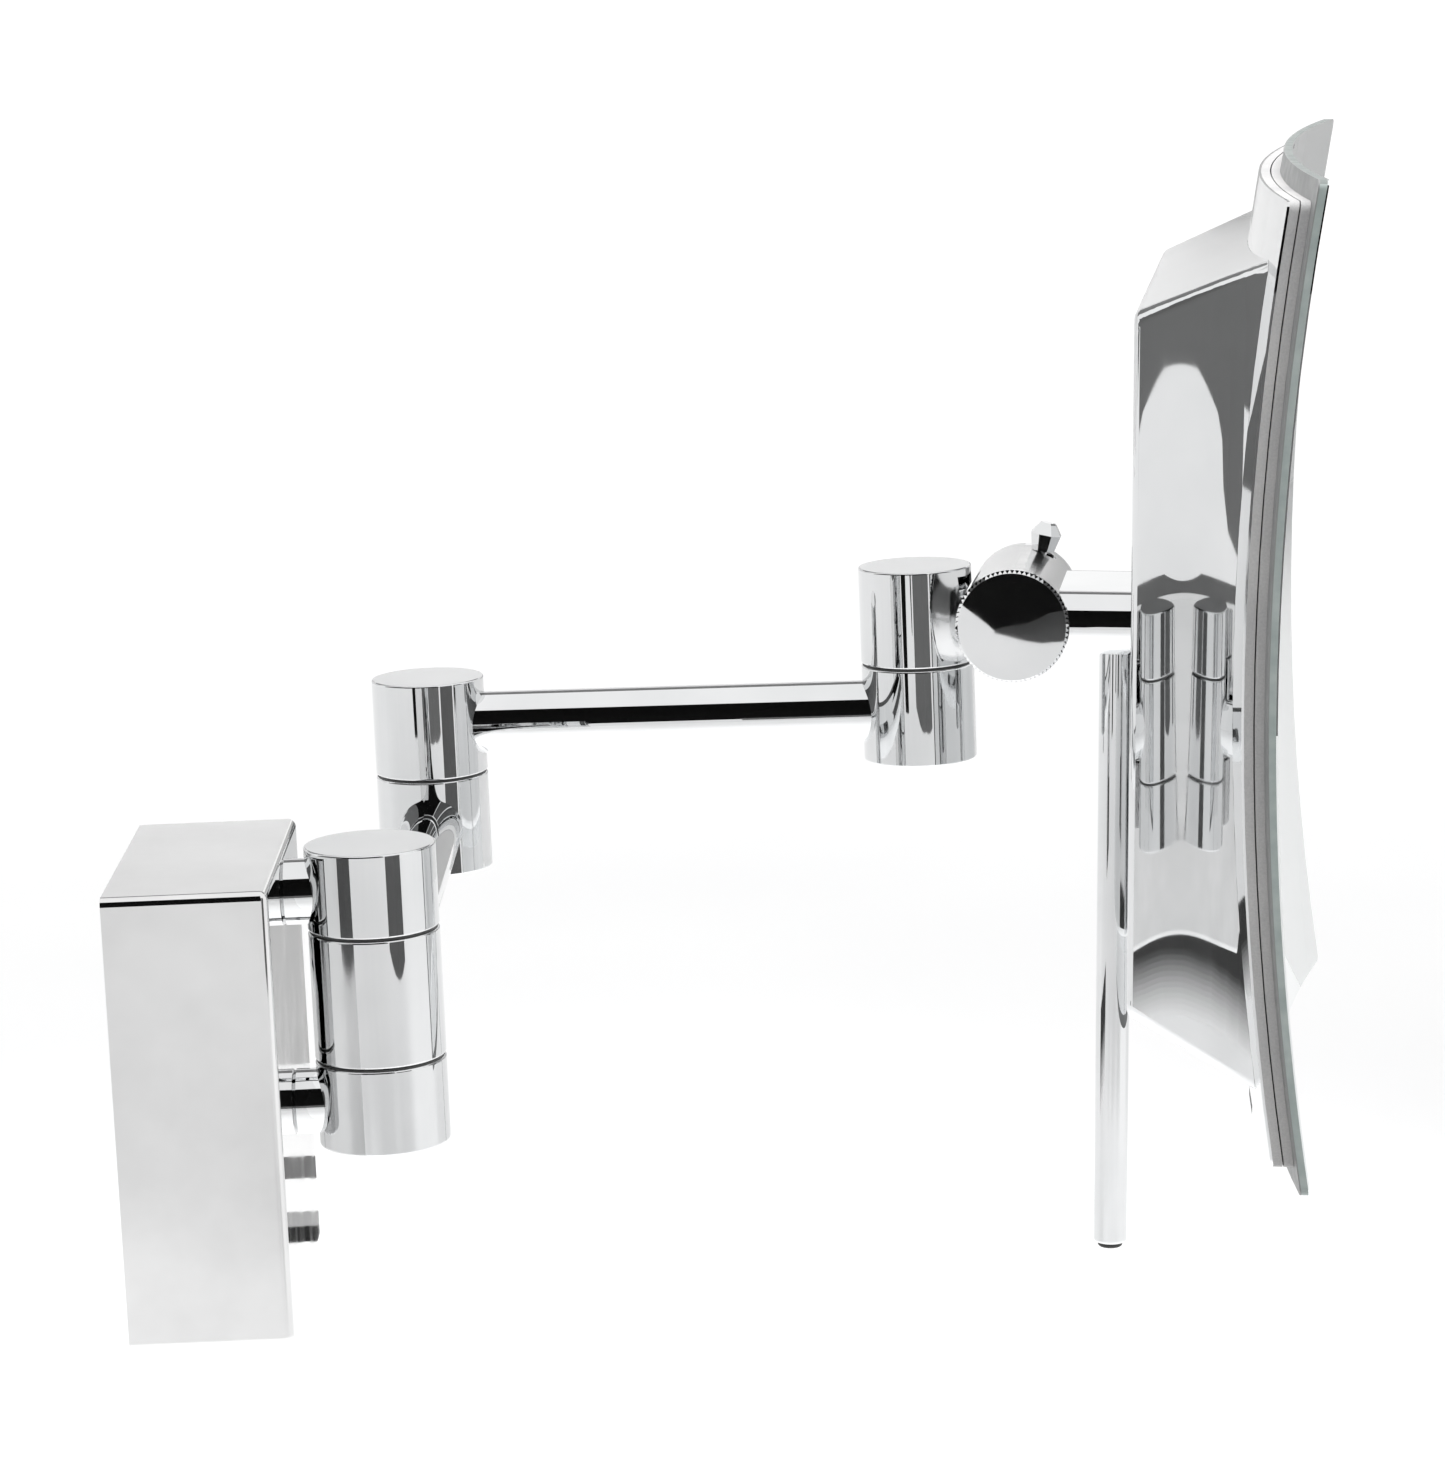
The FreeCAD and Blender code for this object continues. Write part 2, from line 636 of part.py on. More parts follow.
def tilt_drum():
    body = along_y(DRUM_RADIUS, DRUM_LOW, DRUM_HIGH)
    head_end = AXLE_HEAD_Y - AXLE_HEAD_HEIGHT
    tools = [
        drum_slot(),
        along_y(TILT_AXLE_RADIUS, AXLE_HEAD_Y - PAST, AXLE_END_Y),
        along_y(NEAR_SPIGOT_RADIUS, DRUM_LOW - PAST, head_end),
        along_y(AXLE_HEAD_RADIUS, head_end - PAST, AXLE_HEAD_Y),
        along_y(FAR_RING_RADIUS, DRUM_HIGH - FAR_RING_LENGTH, DRUM_HIGH + PAST),
        switch_pocket(),
    ]
    return cut_all(body, tools)


def tooth_groove(length, y):
    """One V-groove along the rim, standing at the top of the cap."""
    tip = CAP_RADIUS - CAP_TOOTH_DEPTH
    mouth = CAP_RADIUS + CAP_TOOTH_DEPTH
    points = [
        Vector(0, y, tip),
        Vector(CAP_TOOTH_WIDTH, y, mouth),
        Vector(-CAP_TOOTH_WIDTH, y, mouth),
        Vector(0, y, tip),
    ]
    return Part.Face(Part.makePolygon(points)).extrude(Vector(0, length, 0))


def near_cap():
    """A screwed cap with a chamfered coin-edge rim."""
    face = -DRUM_HALF_LENGTH
    disc = along_y(CAP_RADIUS, face, DRUM_LOW - CAP_GAP)
    front = [edge for edge in disc.Edges if edge.BoundBox.YMax < face + CAP_GAP]
    disc = disc.makeChamfer(CAP_CHAMFER, front)
    grooves = []
    for tooth in range(CAP_TEETH):
        groove = tooth_groove(2 * CAP_CHAMFER + CAP_GAP, face - CAP_GAP)
        groove.rotate(ORIGIN, Y_AXIS, 360.0 * tooth / CAP_TEETH)
        grooves.append(groove)
    disc = disc.cut(Part.makeCompound(grooves))
    spigot = along_y(NEAR_SPIGOT_RADIUS, DRUM_LOW - CAP_GAP, DRUM_LOW + NEAR_SPIGOT_LENGTH)
    return disc.fuse(spigot)


def far_cap():
    end = DRUM_HALF_LENGTH
    disc = along_y(DRUM_RADIUS, DRUM_HIGH + CAP_GAP, end)
    disc = round_edges(disc, CAP_FAR_EDGE, lambda edge: edge.BoundBox.YMin > end - CAP_GAP)
    ring_end = DRUM_HIGH - FAR_RING_LENGTH + CAP_GAP
    ring = along_y(FAR_RING_RADIUS, ring_end, DRUM_HIGH + 2 * CAP_GAP)
    ring = ring.cut(along_y(FAR_RING_BORE, ring_end - PAST, DRUM_HIGH + CAP_GAP))
    return disc.fuse(ring)


def tilt_axle():
    """A socket-head bolt, screwed tight through both cheeks of the drum."""
    axle = along_y(TILT_AXLE_RADIUS, AXLE_HEAD_Y - PAST, AXLE_END_Y)
    head_end = AXLE_HEAD_Y - AXLE_HEAD_HEIGHT
    head = along_y(AXLE_HEAD_RADIUS, head_end, AXLE_HEAD_Y)
    socket = hexagon(AXLE_KEY, ORIGIN, AXLE_KEY_DEPTH + PAST)
    socket.rotate(ORIGIN, Z_AXIS, 90)
    socket.translate(Vector(0, head_end - PAST, 0))
    return axle.fuse(head).cut(socket)


# ---------------------------------------------------------------- switch
def switch_body():
    width, depth = SWITCH_BODY
    top = SWITCH_SPLIT
    body = block(centred(width), centred(depth), (SWITCH_BODY_FLOOR, top))
    return body.cut(vertical(SWITCH_BORE_RADIUS, SWITCH_WELL_FLOOR, top + PAST))


def switch_bushing():
    low = SWITCH_SPLIT
    high = DRUM_RADIUS - SWITCH_BUSHING_SINK
    neck = vertical(SWITCH_BUSHING_RADIUS, low, high)
    return neck.cut(vertical(SWITCH_BORE_RADIUS, low - PAST, high + PAST))


def octagon(radius, z):
    points = []
    for corner in range(9):
        angle = math.radians(45 * corner + 22.5)
        points.append(Vector(radius * math.cos(angle), radius * math.sin(angle), z))
    return Part.makePolygon(points)


def switch_lever():
    """A stem on a round trunnion, with an eight-sided bat, thrown towards the wall."""
    shoulder = LEVER_BASE + LEVER_SHOULDER * LEVER_LENGTH
    tip = LEVER_BASE + LEVER_LENGTH
    crown = tip - LEVER_TIP_HEIGHT
    rings = [
        octagon(LEVER_BASE_RADIUS, LEVER_BASE),
        octagon(LEVER_SHOULDER_RADIUS, shoulder),
        octagon(LEVER_CROWN_RADIUS, crown),
        octagon(LEVER_TIP_RADIUS, tip),
    ]
    half = TRUNNION_WIDTH / 2
    lever = along_y(TRUNNION_RADIUS, -half, half)
    lever = lever.fuse(vertical(STEM_RADIUS, 0, LEVER_BASE + STEM_RADIUS))
    for low_ring, high_ring in zip(rings, rings[1:]):
        lever = lever.fuse(Part.makeLoft([low_ring, high_ring], True, True))
    lever = lever.removeSplitter()
    lever.rotate(ORIGIN, Y_AXIS, -SWITCH_THROW / 2)
    lever.translate(Vector(0, 0, SWITCH_PIVOT))
    return lever


# ---------------------------------------------------------------- head arm and handle
def bar_outline():
    """Everything inside the obround section of the head arm."""
    edge = (BAR_WIDTH - BAR_HEIGHT) / 2
    core = block((0, BAR_END_X), (-edge, edge), centred(BAR_HEIGHT))
    ends = [along_x(BAR_HEIGHT / 2, 0, BAR_END_X, y=side * edge) for side in (-1, 1)]
    return core.fuse(ends).removeSplitter()


def head_arm():
    end = BAR_END_X + PAST
    spigot_top = BAR_FLOOR + HANDLE_SPIGOT_DEPTH
    tools = [
        along_y(DRUM_RADIUS, -BAR_WIDTH, BAR_WIDTH),
        along_y(CAP_RADIUS + CAP_GAP, -BAR_WIDTH, DRUM_LOW),
        along_x(WIRE_HOLE_RADIUS, 0, end),
        vertical(HANDLE_SPIGOT_RADIUS, BAR_FLOOR - PAST, spigot_top, HANDLE_X),
    ]
    for side in (-1, 1):
        y = side * BAR_SCREW_Y
        tools.append(along_x(BAR_SCREW_RADIUS, BAR_END_X - BAR_SCREW_DEPTH - PAST, end, y=y))
    return cut_all(bar_outline(), tools)


def housing_screws():
    """Two screws, driven from inside the housing into the end of the head arm."""
    inside = HOUSING_REAR_X + HOUSING_WALL
    top = inside + BAR_SCREW_HEAD_HEIGHT
    screws = []
    for side in (-1, 1):
        y = side * BAR_SCREW_Y
        shank = along_x(BAR_SCREW_RADIUS, BAR_END_X - BAR_SCREW_DEPTH, inside + PAST, y=y)
        head = along_x(BAR_SCREW_HEAD_RADIUS, inside, top, y=y)
        start = Vector(top - BAR_SCREW_KEY_DEPTH, y, 0)
        socket = hexagon(BAR_SCREW_KEY, start, BAR_SCREW_KEY_DEPTH + PAST)
        screws.append(shank.fuse(head).cut(socket))
    return Part.makeCompound(screws)


def handle_rod():
    bottom = BAR_FLOOR - HANDLE_LENGTH
    rod = vertical(HANDLE_RADIUS, bottom, BAR_FLOOR, HANDLE_X)
    rod = round_edges(rod, HANDLE_END_RADIUS, lambda edge: edge.BoundBox.ZMax < bottom + PAST)
    spigot_top = BAR_FLOOR + HANDLE_SPIGOT_DEPTH
    spigot = vertical(HANDLE_SPIGOT_RADIUS, BAR_FLOOR - PAST, spigot_top, HANDLE_X)
    plug = vertical(TIP_PLUG_RADIUS, bottom - PAST, bottom + TIP_PLUG_LENGTH, HANDLE_X)
    return rod.fuse(spigot).cut(plug)


def handle_tip():
    """A small rubber bumper, pushed into the end of the rod."""
    bottom = BAR_FLOOR - HANDLE_LENGTH
    low = bottom - TIP_LIP_HEIGHT
    plug = vertical(TIP_PLUG_RADIUS, bottom - TIP_PLUG_RADIUS / 2, bottom + TIP_PLUG_LENGTH, HANDLE_X)
    lip = vertical(TIP_LIP_RADIUS, low, bottom, HANDLE_X)
    lip = round_edges(lip, TIP_LIP_EDGE, lambda edge: edge.BoundBox.ZMax < bottom - TIP_LIP_EDGE)
    return plug.fuse(lip).removeSplitter()


# ---------------------------------------------------------------- mirror head
# The glass is a piece of a sphere. Its centre lies in front, on the head's own X axis.
GLASS_DIAGONAL = (GLASS_SIZE - 2 * GLASS_CORNER) / math.sqrt(2) + GLASS_CORNER
SPHERE_X = GLASS_CORNER_REACH + math.sqrt(GLASS_RADIUS**2 - GLASS_DIAGONAL**2)
GLASS_BACK = GLASS_RADIUS + GLASS_THICKNESS
FRONT_BAND_BACK = GLASS_BACK + BAND_THICKNESS
REAR_BAND_FRONT = FRONT_BAND_BACK + BAND_GROOVE
REAR_BAND_BACK = REAR_BAND_FRONT + BAND_THICKNESS
SKIN_BACK = REAR_BAND_BACK + SKIN_THICKNESS


def ball(radius):
    return Part.makeSphere(radius, Vector(SPHERE_X, 0, 0))


def dished_layer(size, corner, near, far):
    """A square layer between two spheres around the mirror's centre of curvature."""
    blank = prism(size, corner, HEAD_BACK_X, HEAD_FRONT_X)
    return blank.common(ball(far)).cut(ball(near))


def framed_layer(size, near, far):
    """A dished layer with the lamps' window cut out of it."""
    layer = dished_layer(size, BAND_CORNER, near, far)
    return layer.cut(prism(SKIN_WINDOW, SKIN_WINDOW_CORNER, HEAD_BACK_X, HEAD_FRONT_X))


def mirror_glass():
    return dished_layer(GLASS_SIZE, GLASS_CORNER, GLASS_RADIUS, GLASS_BACK)


def front_band():
    return framed_layer(BAND_SIZE, GLASS_BACK, FRONT_BAND_BACK)


def band_gasket():
    return framed_layer(BAND_SIZE - 2 * BAND_GROOVE_DEPTH, FRONT_BAND_BACK, REAR_BAND_FRONT)


def rear_band():
    return framed_layer(BAND_SIZE, REAR_BAND_FRONT, REAR_BAND_BACK)


def back_skin():
    return framed_layer(BAND_SIZE, REAR_BAND_BACK, SKIN_BACK)


def frustum(size, corners, low, high):
    """A square block that widens along X by the housing's slope on each side."""
    wide = size + 2 * HOUSING_SLOPE * (high - low)
    ends = [rounded_square(size, corners[0], low), rounded_square(wide, corners[1], high)]
    return Part.makeLoft(ends, True, True)


def rear_housing():
    """The pressed shell behind the mirror, trimmed to the dish it is soldered to."""
    corners = (HOUSING_REAR_CORNER, HOUSING_FRONT_CORNER)
    outer = frustum(HOUSING_REAR_SIZE, corners, HOUSING_REAR_X, HOUSING_FRONT_X)
    rear_edge = HOUSING_REAR_X + CAP_GAP
    outer = round_edges(outer, HOUSING_EDGE_RADIUS, lambda edge: edge.BoundBox.XMax < rear_edge)
    floor = HOUSING_REAR_X + HOUSING_WALL
    inner_size = HOUSING_REAR_SIZE - 2 * HOUSING_WALL + 2 * HOUSING_SLOPE * HOUSING_WALL
    corners = (HOUSING_INNER_CORNER, HOUSING_FRONT_CORNER)
    inner = frustum(inner_size, corners, floor, HOUSING_FRONT_X + PAST)
    shell = outer.cut(inner).cut(ball(SKIN_BACK))
    span = (HOUSING_REAR_X - PAST, floor + PAST)
    tools = [along_x(WIRE_HOLE_RADIUS, span[0], span[1])]
    for side in (-1, 1):
        tools.append(along_x(BAR_SCREW_RADIUS, span[0], span[1], y=side * BAR_SCREW_Y))
    return cut_all(shell, tools)


def led_board():
    high = LED_BOARD_X + LED_BOARD_THICKNESS
    board = prism(LED_BOARD_SIZE, LED_BOARD_CORNER, LED_BOARD_X, high)
    return board.cut(prism(LED_BOARD_HOLE, LED_BOARD_CORNER, LED_BOARD_X - PAST, high + PAST))


def led_chips():
    """A ring of square lamps along the board's four sides."""
    low = LED_BOARD_X + LED_BOARD_THICKNESS
    half = LED_SIZE / 2
    chips = []
    for side in range(4):
        for step in (-1, 0, 1):
            y = step * LED_PITCH
            chip = block(
                (low, low + LED_HEIGHT), (y - half, y + half), (LED_RING - half, LED_RING + half)
            )
            chip.rotate(ORIGIN, X_AXIS, 90.0 * side)
            chips.append(chip)
    return Part.makeCompound(chips)


def board_spacers():
    """Four pillars that hold the lamp board off the housing's floor."""
    floor = HOUSING_REAR_X + HOUSING_WALL
    pillars = []
    for y in (-SPACER_PLACE, SPACER_PLACE):
        for z in (-SPACER_PLACE, SPACER_PLACE):
            pillars.append(along_x(SPACER_RADIUS, floor, LED_BOARD_X, y, z))
    return Part.makeCompound(pillars)


# ---------------------------------------------------------------- write every piece
save("wall_box", wall_box())
save("back_plate", back_plate())
save("arm_bracket", arm_bracket())
save("cover_set_screws", set_screws())
save("post_upper", post(UPPER_POST_Z))
save("post_lower", post(LOWER_POST_Z))
save("post_nuts", Part.makeCompound([post_nut(z) for z in POST_HEIGHTS]))
save("led_driver", led_driver())
save("terminal_block", terminal_block())
save("cable_grommet", cable_grommet())
save("pivot1_top_knuckle", pivot1_top_knuckle())
save("pivot1_bottom_knuckle", pivot1_bottom_knuckle())
save("pivot1_pin", pivot1_pin())
save("pivot1_washers", pivot1_washers())

save("pivot1_barrel", pivot1_barrel(), ARM1)
save("arm1_tube", arm_tube(ARM1_LENGTH, ARM1_Z), ARM1)
save("arm1_wire", arm_wire(ARM1_LENGTH, ARM1_Z), ARM1)
save("pivot2_lower_knuckle", lower_knuckle(PIVOT2_BOTTOM, True), PIVOT2)
save("pivot2_pin", pivot_pin(PIVOT2_BOTTOM + PIN_HEAD_SINK, ARM2_Z + PIN_REACH), PIVOT2)
save("pivot2_washer", washer(PIVOT2_SEAM), PIVOT2)

save("pivot2_upper_knuckle", upper_knuckle(PIVOT3_BOTTOM), ARM2)
save("arm2_tube", arm_tube(ARM2_LENGTH, ARM2_Z), ARM2)
save("arm2_wire", arm_wire(ARM2_LENGTH, ARM2_Z), ARM2)
save("pivot3_lower_knuckle", lower_knuckle(PIVOT3_BOTTOM, True), PIVOT3)
save("pivot3_pin", pivot_pin(PIVOT3_BOTTOM + PIN_HEAD_SINK, DRUM_Z + PIN_REACH), PIVOT3)
save("pivot3_washer", washer(PIVOT3_SEAM), PIVOT3)

save("pivot3_upper_knuckle", pivot3_upper_knuckle(), SWIVEL)
save("tilt_tongue", tilt_tongue(), SWIVEL)
save("tilt_friction_washers", friction_washers(), SWIVEL)

save("tilt_drum", tilt_drum(), HEAD)
save("drum_cap_near", near_cap(), HEAD)
save("drum_cap_far", far_cap(), HEAD)
save("tilt_axle", tilt_axle(), HEAD)
save("head_arm", head_arm(), HEAD)
save("housing_screws", housing_screws(), HEAD)
save("handle_rod", handle_rod(), HEAD)
save("handle_tip", handle_tip(), HEAD)
save("rear_housing", rear_housing(), HEAD)
save("back_skin", back_skin(), HEAD)
save("edge_band_rear", rear_band(), HEAD)
save("edge_band_gasket", band_gasket(), HEAD)
save("edge_band_front", front_band(), HEAD)
save("mirror_glass", mirror_glass(), HEAD)
save("led_board", led_board(), HEAD)
save("led_chips", led_chips(), HEAD)
save("board_spacers", board_spacers(), HEAD)

save("switch_body", switch_body(), SWITCH)
save("switch_bushing", switch_bushing(), SWITCH)
save("switch_lever", switch_lever(), SWITCH)
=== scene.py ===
"""Looks, studio and camera for the extendable shaving mirror. Metres, in the CAD frame."""

import json
import math

import bpy
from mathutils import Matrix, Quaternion, Vector


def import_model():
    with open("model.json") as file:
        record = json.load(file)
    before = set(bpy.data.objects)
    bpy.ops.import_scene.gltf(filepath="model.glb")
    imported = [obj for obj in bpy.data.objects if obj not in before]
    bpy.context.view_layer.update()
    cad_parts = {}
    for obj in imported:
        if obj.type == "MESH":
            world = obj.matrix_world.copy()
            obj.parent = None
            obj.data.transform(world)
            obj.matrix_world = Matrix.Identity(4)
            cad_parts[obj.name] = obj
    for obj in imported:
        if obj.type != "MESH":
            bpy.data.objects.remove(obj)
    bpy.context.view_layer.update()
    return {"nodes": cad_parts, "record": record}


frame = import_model()
NODES = frame["nodes"]

# ---------------------------------------------------------------- camera
CAMERA_PLACE = (0.1102, -0.8525, 0.2223)
CAMERA_HEADING = 0.30
CAMERA_DOWN = 10.69
CAMERA_ROLL = -2.37
CAMERA_LENS = 112.1
SENSOR = 36.0

# ---------------------------------------------------------------- studio
FLOOR_Z = -1.1
FLOOR_REACH = 30.0
WORLD_STRENGTH = 1.12
OVERHEAD_PLACE = (0.1, -0.1, 1.9)
OVERHEAD_TARGET = (0.1, 0.1, 0.0)
OVERHEAD_SIZE = (2.6, 2.6)
OVERHEAD_WATTS = 110.0

# ---------------------------------------------------------------- cards
# Radii are in metres, headings and heights in degrees, and shades go from 0, black, to 1. A
# card on a smaller radius hides those behind it.
CARD_RADIUS = 3.2
HAZE_RADIUS = 3.22
NEAR_RADIUS = 3.15
LOW_RADIUS = 3.1
SLIT_RADIUS = 3.0
# The tall dark cards in front of the object and to its left.
TALL_TOP = 55
FRONT_EDGE = (
    (-28, -4), (-12, -5), (6, -6), (8.6, -6.5), (8.9, -8.55), (9.6, -8.6), (10.45, -8.9),
    (11.1, -8.3), (12, -6.8), (20, -6.0), (22, -10.4), (29, -10.4), (32, -6.0), (46, -4.5),
)
LEFT_EDGE = (
    (46, -4.5), (61.5, -4.45), (63.5, -4.5), (66, -4.8), (69, -5.1), (70.8, -5.5), (71.6, -6.3),
    (74, -7.0), (79, -7.3), (80.5, -7.6), (81.5, -4.7), (98, -4.7),
)
# The pale cards behind the object, with a gap between the low one and the high one.
FAR_TOP = 22
FAR_FOOT = -5
FAR_SHADE = 0.72
GAP_HEADINGS = (187.5, 189.5, 191.5)
GAP_FOOT = 8.6
GAP_TOP = 12.5
# The fading card: its headings, where it starts, begins to fade and ends, the shade it starts
# with, and the two shades it fades between.
SILL_HEADINGS = range(56, 99, 7)
SILL_TOP = -13.5
SILL_FOOT = -14.3
SILL_END = -15.4
SILL_STEPS = 12
SILL_SHADE = 0.05
SILL_SHADES = (0.08, 0.82)
# The narrow bands, one above the other, that the wall box's lower front face shows.
SLIT_HEADINGS = (185.4, 186.6)

# ---------------------------------------------------------------- mirror glass
# Centre of the glass's curve, the radius of its silvered face and of its painted back.
GLASS_CENTRE = (0.864355, 0.048852, 0.035012)
GLASS_FACE = 0.640
GLASS_BACK = 0.642
GLASS_SKIN = 0.0003
# The rim counts as facing upward where its normal rises more than this; there its colour is
# painted darker, as painted shade.
RIM_UPWARD = 0.6

# ---------------------------------------------------------------- pressed housing
# The way the head faces, and the curve of the housing's walls along it: the middle of the
# wall, how far it leans there, how fast the lean grows to both sides, and how far the wall
# tips down.
HEAD_FORWARD = (0.98868, -0.14599, -0.03490)
HEAD_UP = (0.03453, -0.00510, 0.99939)
WALL_MIDDLE = 0.1932
WALL_LEAN = 0.0500
WALL_CURVE = 350.0
WALL_TILT = 0.0150

# ---------------------------------------------------------------- chrome colours
CHROME_DARK = (0.69, 0.70, 0.705)
CHROME_PALE = (0.76, 0.765, 0.77)


# ---------------------------------------------------------------- node helpers
class Look:
    """A material under construction, with short calls for the nodes it needs."""

    def __init__(self, name):
        self.material = bpy.data.materials.new(name)
        self.material.use_nodes = True
        self.tree = self.material.node_tree
        self.shader = self.tree.nodes["Principled BSDF"]

    def node(self, kind, **settings):
        made = self.tree.nodes.new(kind)
        for key, value in settings.items():
            setattr(made, key, value)
        return made

    def link(self, source, target):
        self.tree.links.new(source, target)

    def set(self, **values):
        for key, value in values.items():
            self.shader.inputs[key.replace("_", " ")].default_value = value

    def colour(self, source):
        self.link(source, self.shader.inputs["Base Color"])

    def roughness(self, source):
        self.link(source, self.shader.inputs["Roughness"])

    def normal(self, source):
        self.link(source, self.shader.inputs["Normal"])

    def place(self, stretch=(1.0, 1.0, 1.0)):
        """The piece's own coordinates, in metres, stretched along its axes."""
        coords = self.node("ShaderNodeTexCoord")
        mapping = self.node("ShaderNodeMapping")
        mapping.inputs["Scale"].default_value = stretch
        self.link(coords.outputs["Object"], mapping.inputs["Vector"])
        return mapping.outputs["Vector"]

    def noise(self, scale, detail=3.0, stretch=(1.0, 1.0, 1.0), rough=0.5):
        texture = self.node("ShaderNodeTexNoise")
        texture.inputs["Scale"].default_value = scale
        texture.inputs["Detail"].default_value = detail
        texture.inputs["Roughness"].default_value = rough
        self.link(self.place(stretch), texture.inputs["Vector"])
        return texture.outputs["Fac"]

    def spread(self, source, low, high, start=0.3, end=0.7):
        """A texture's middle range, mapped on to the values from low to high."""
        remap = self.node("ShaderNodeMapRange")
        remap.inputs["From Min"].default_value = start
        remap.inputs["From Max"].default_value = end
        remap.inputs["To Min"].default_value = low
        remap.inputs["To Max"].default_value = high
        self.link(source, remap.inputs["Value"])
        return remap.outputs["Result"]

    def blend(self, source, first, second, start=0.3, end=0.7):
        """A colour between two, following a texture."""
        ramp = self.node("ShaderNodeValToRGB")
        ramp.color_ramp.elements[0].position = start
        ramp.color_ramp.elements[0].color = (*first, 1.0)
        ramp.color_ramp.elements[1].position = end
        ramp.color_ramp.elements[1].color = (*second, 1.0)
        self.link(source, ramp.inputs["Fac"])
        return ramp.outputs["Color"]

    def either(self, mask, first, second):
        """The first colour where the mask is 0 and the second where it is 1."""
        mix = self.node("ShaderNodeMix", data_type="RGBA")
        self.link(mask, mix.inputs["Factor"])
        self.link(first, mix.inputs["A"])
        self.link(second, mix.inputs["B"])
        return mix.outputs["Result"]

    def maths(self, operation, *inputs):
        """A math node's result. Each input is another node's output or a number."""
        made = self.node("ShaderNodeMath", operation=operation)
        for slot, value in zip(made.inputs, inputs):
            if isinstance(value, float):
                slot.default_value = value
            else:
                self.link(value, slot)
        return made.outputs["Value"]

    def measure(self, operation, vector):
        """A length in metres from the piece's coordinates and a fixed vector."""
        made = self.node("ShaderNodeVectorMath", operation=operation)
        self.link(self.place(), made.inputs[0])
        made.inputs[1].default_value = vector
        return made.outputs["Value"]

    def bump(self, source, strength, distance):
        made = self.node("ShaderNodeBump")
        made.inputs["Strength"].default_value = strength
        made.inputs["Distance"].default_value = distance
        self.link(source, made.inputs["Height"])
        return made.outputs["Normal"]


# ---------------------------------------------------------------- materials
def polished_chrome():
    """Bright plate with faint polishing waves and a few soft wipe marks."""
    look = Look("polished_chrome")
    look.set(Metallic=1.0)
    look.colour(look.blend(look.noise(38.0, 4.0), CHROME_DARK, CHROME_PALE))
    look.roughness(look.spread(look.noise(120.0, 5.0), 0.004, 0.024))
    look.normal(look.bump(look.noise(26.0, 2.0), 0.07, 0.0004))
    return look.material


def pressed_chrome():
    """The housing's plate: chrome on a pressed shell whose walls aren't quite flat.

    Across each wall, from the rear edge to the dish, the press has left a shallow double
    curve, so that the walls show two images of whatever stands beside them.
    """
    look = Look("pressed_chrome")
    look.set(Metallic=1.0)
    look.colour(look.blend(look.noise(30.0, 4.0), CHROME_DARK, CHROME_PALE))
    look.roughness(look.spread(look.noise(90.0, 5.0), 0.004, 0.03))
    depth = look.maths("SUBTRACT", look.measure("DOT_PRODUCT", HEAD_FORWARD), WALL_MIDDLE)
    square = look.maths("MULTIPLY", depth, depth)
    slope = look.maths("MULTIPLY_ADD", square, WALL_CURVE, WALL_LEAN)
    curve = look.maths("MULTIPLY", depth, slope)
    rise = look.measure("DOT_PRODUCT", HEAD_UP)
    height = look.maths("MULTIPLY_ADD", rise, WALL_TILT, curve)
    look.normal(look.bump(height, 1.0, 1.0))
    return look.material


def cover_chrome():
    """The pressed box's plate: the same chrome on sheet, cloudier and less flat."""
    look = Look("cover_chrome")
    look.set(Metallic=1.0)
    clouds = look.noise(16.0, 5.0, rough=0.62)
    look.colour(look.blend(clouds, (0.66, 0.66, 0.66), (0.83, 0.83, 0.83)))
    smudges = look.noise(34.0, 5.0, rough=0.6)
    look.roughness(look.spread(smudges, 0.008, 0.06, 0.35, 0.65))
    look.normal(look.bump(look.noise(14.0, 2.0), 0.16, 0.0006))
    return look.material


def brushed_chrome():
    """The drum's plate, dulled by fine turning marks around its axis."""
    look = Look("brushed_chrome")
    look.set(Metallic=1.0)
    look.colour(look.blend(look.noise(40.0, 4.0), (0.72, 0.72, 0.725), (0.80, 0.80, 0.80)))
    marks = look.noise(900.0, 2.0, (0.15, 1.0, 0.15))
    look.roughness(look.spread(marks, 0.15, 0.22))
    look.normal(look.bump(marks, 0.12, 0.00004))
    return look.material


def steel(name, colour, rough):
    """Zinc-plated or turned steel with fine tool marks."""
    look = Look(name)
    look.set(Metallic=1.0)
    pale = tuple(min(1.0, channel * 1.12) for channel in colour)
    look.colour(look.blend(look.noise(150.0, 4.0), colour, pale))
    marks = look.noise(1400.0, 2.0, (0.2, 1.0, 1.0))
    look.roughness(look.spread(marks, rough - 0.06, rough + 0.06))
    look.normal(look.bump(marks, 0.15, 0.00005))
    return look.material


def plastic(name, colour, rough):
    """Moulded plastic or rubber with a fine skin."""
    look = Look(name)
    pale = tuple(min(1.0, channel * 1.15 + 0.01) for channel in colour)
    look.colour(look.blend(look.noise(90.0, 3.0), colour, pale))
    skin = look.noise(700.0, 3.0)
    look.roughness(look.spread(skin, rough - 0.05, rough + 0.08))
    look.normal(look.bump(skin, 0.25, 0.00008))
    return look.material


def frosted_band():
    """The ground edge of the light guide: grey, dry and finely speckled."""
    look = Look("frosted_acrylic")
    speckle = look.noise(2600.0, 2.0)
    drift = look.noise(40.0, 3.0)
    cloud = look.maths("ADD", look.spread(speckle, 0.0, 0.35), look.spread(drift, 0.15, 0.65))
    look.colour(look.blend(cloud, (0.30, 0.30, 0.305), (0.44, 0.435, 0.43), 0.1, 0.9))
    look.set(Roughness=0.62)
    look.normal(look.bump(speckle, 0.35, 0.00005))
    return look.material


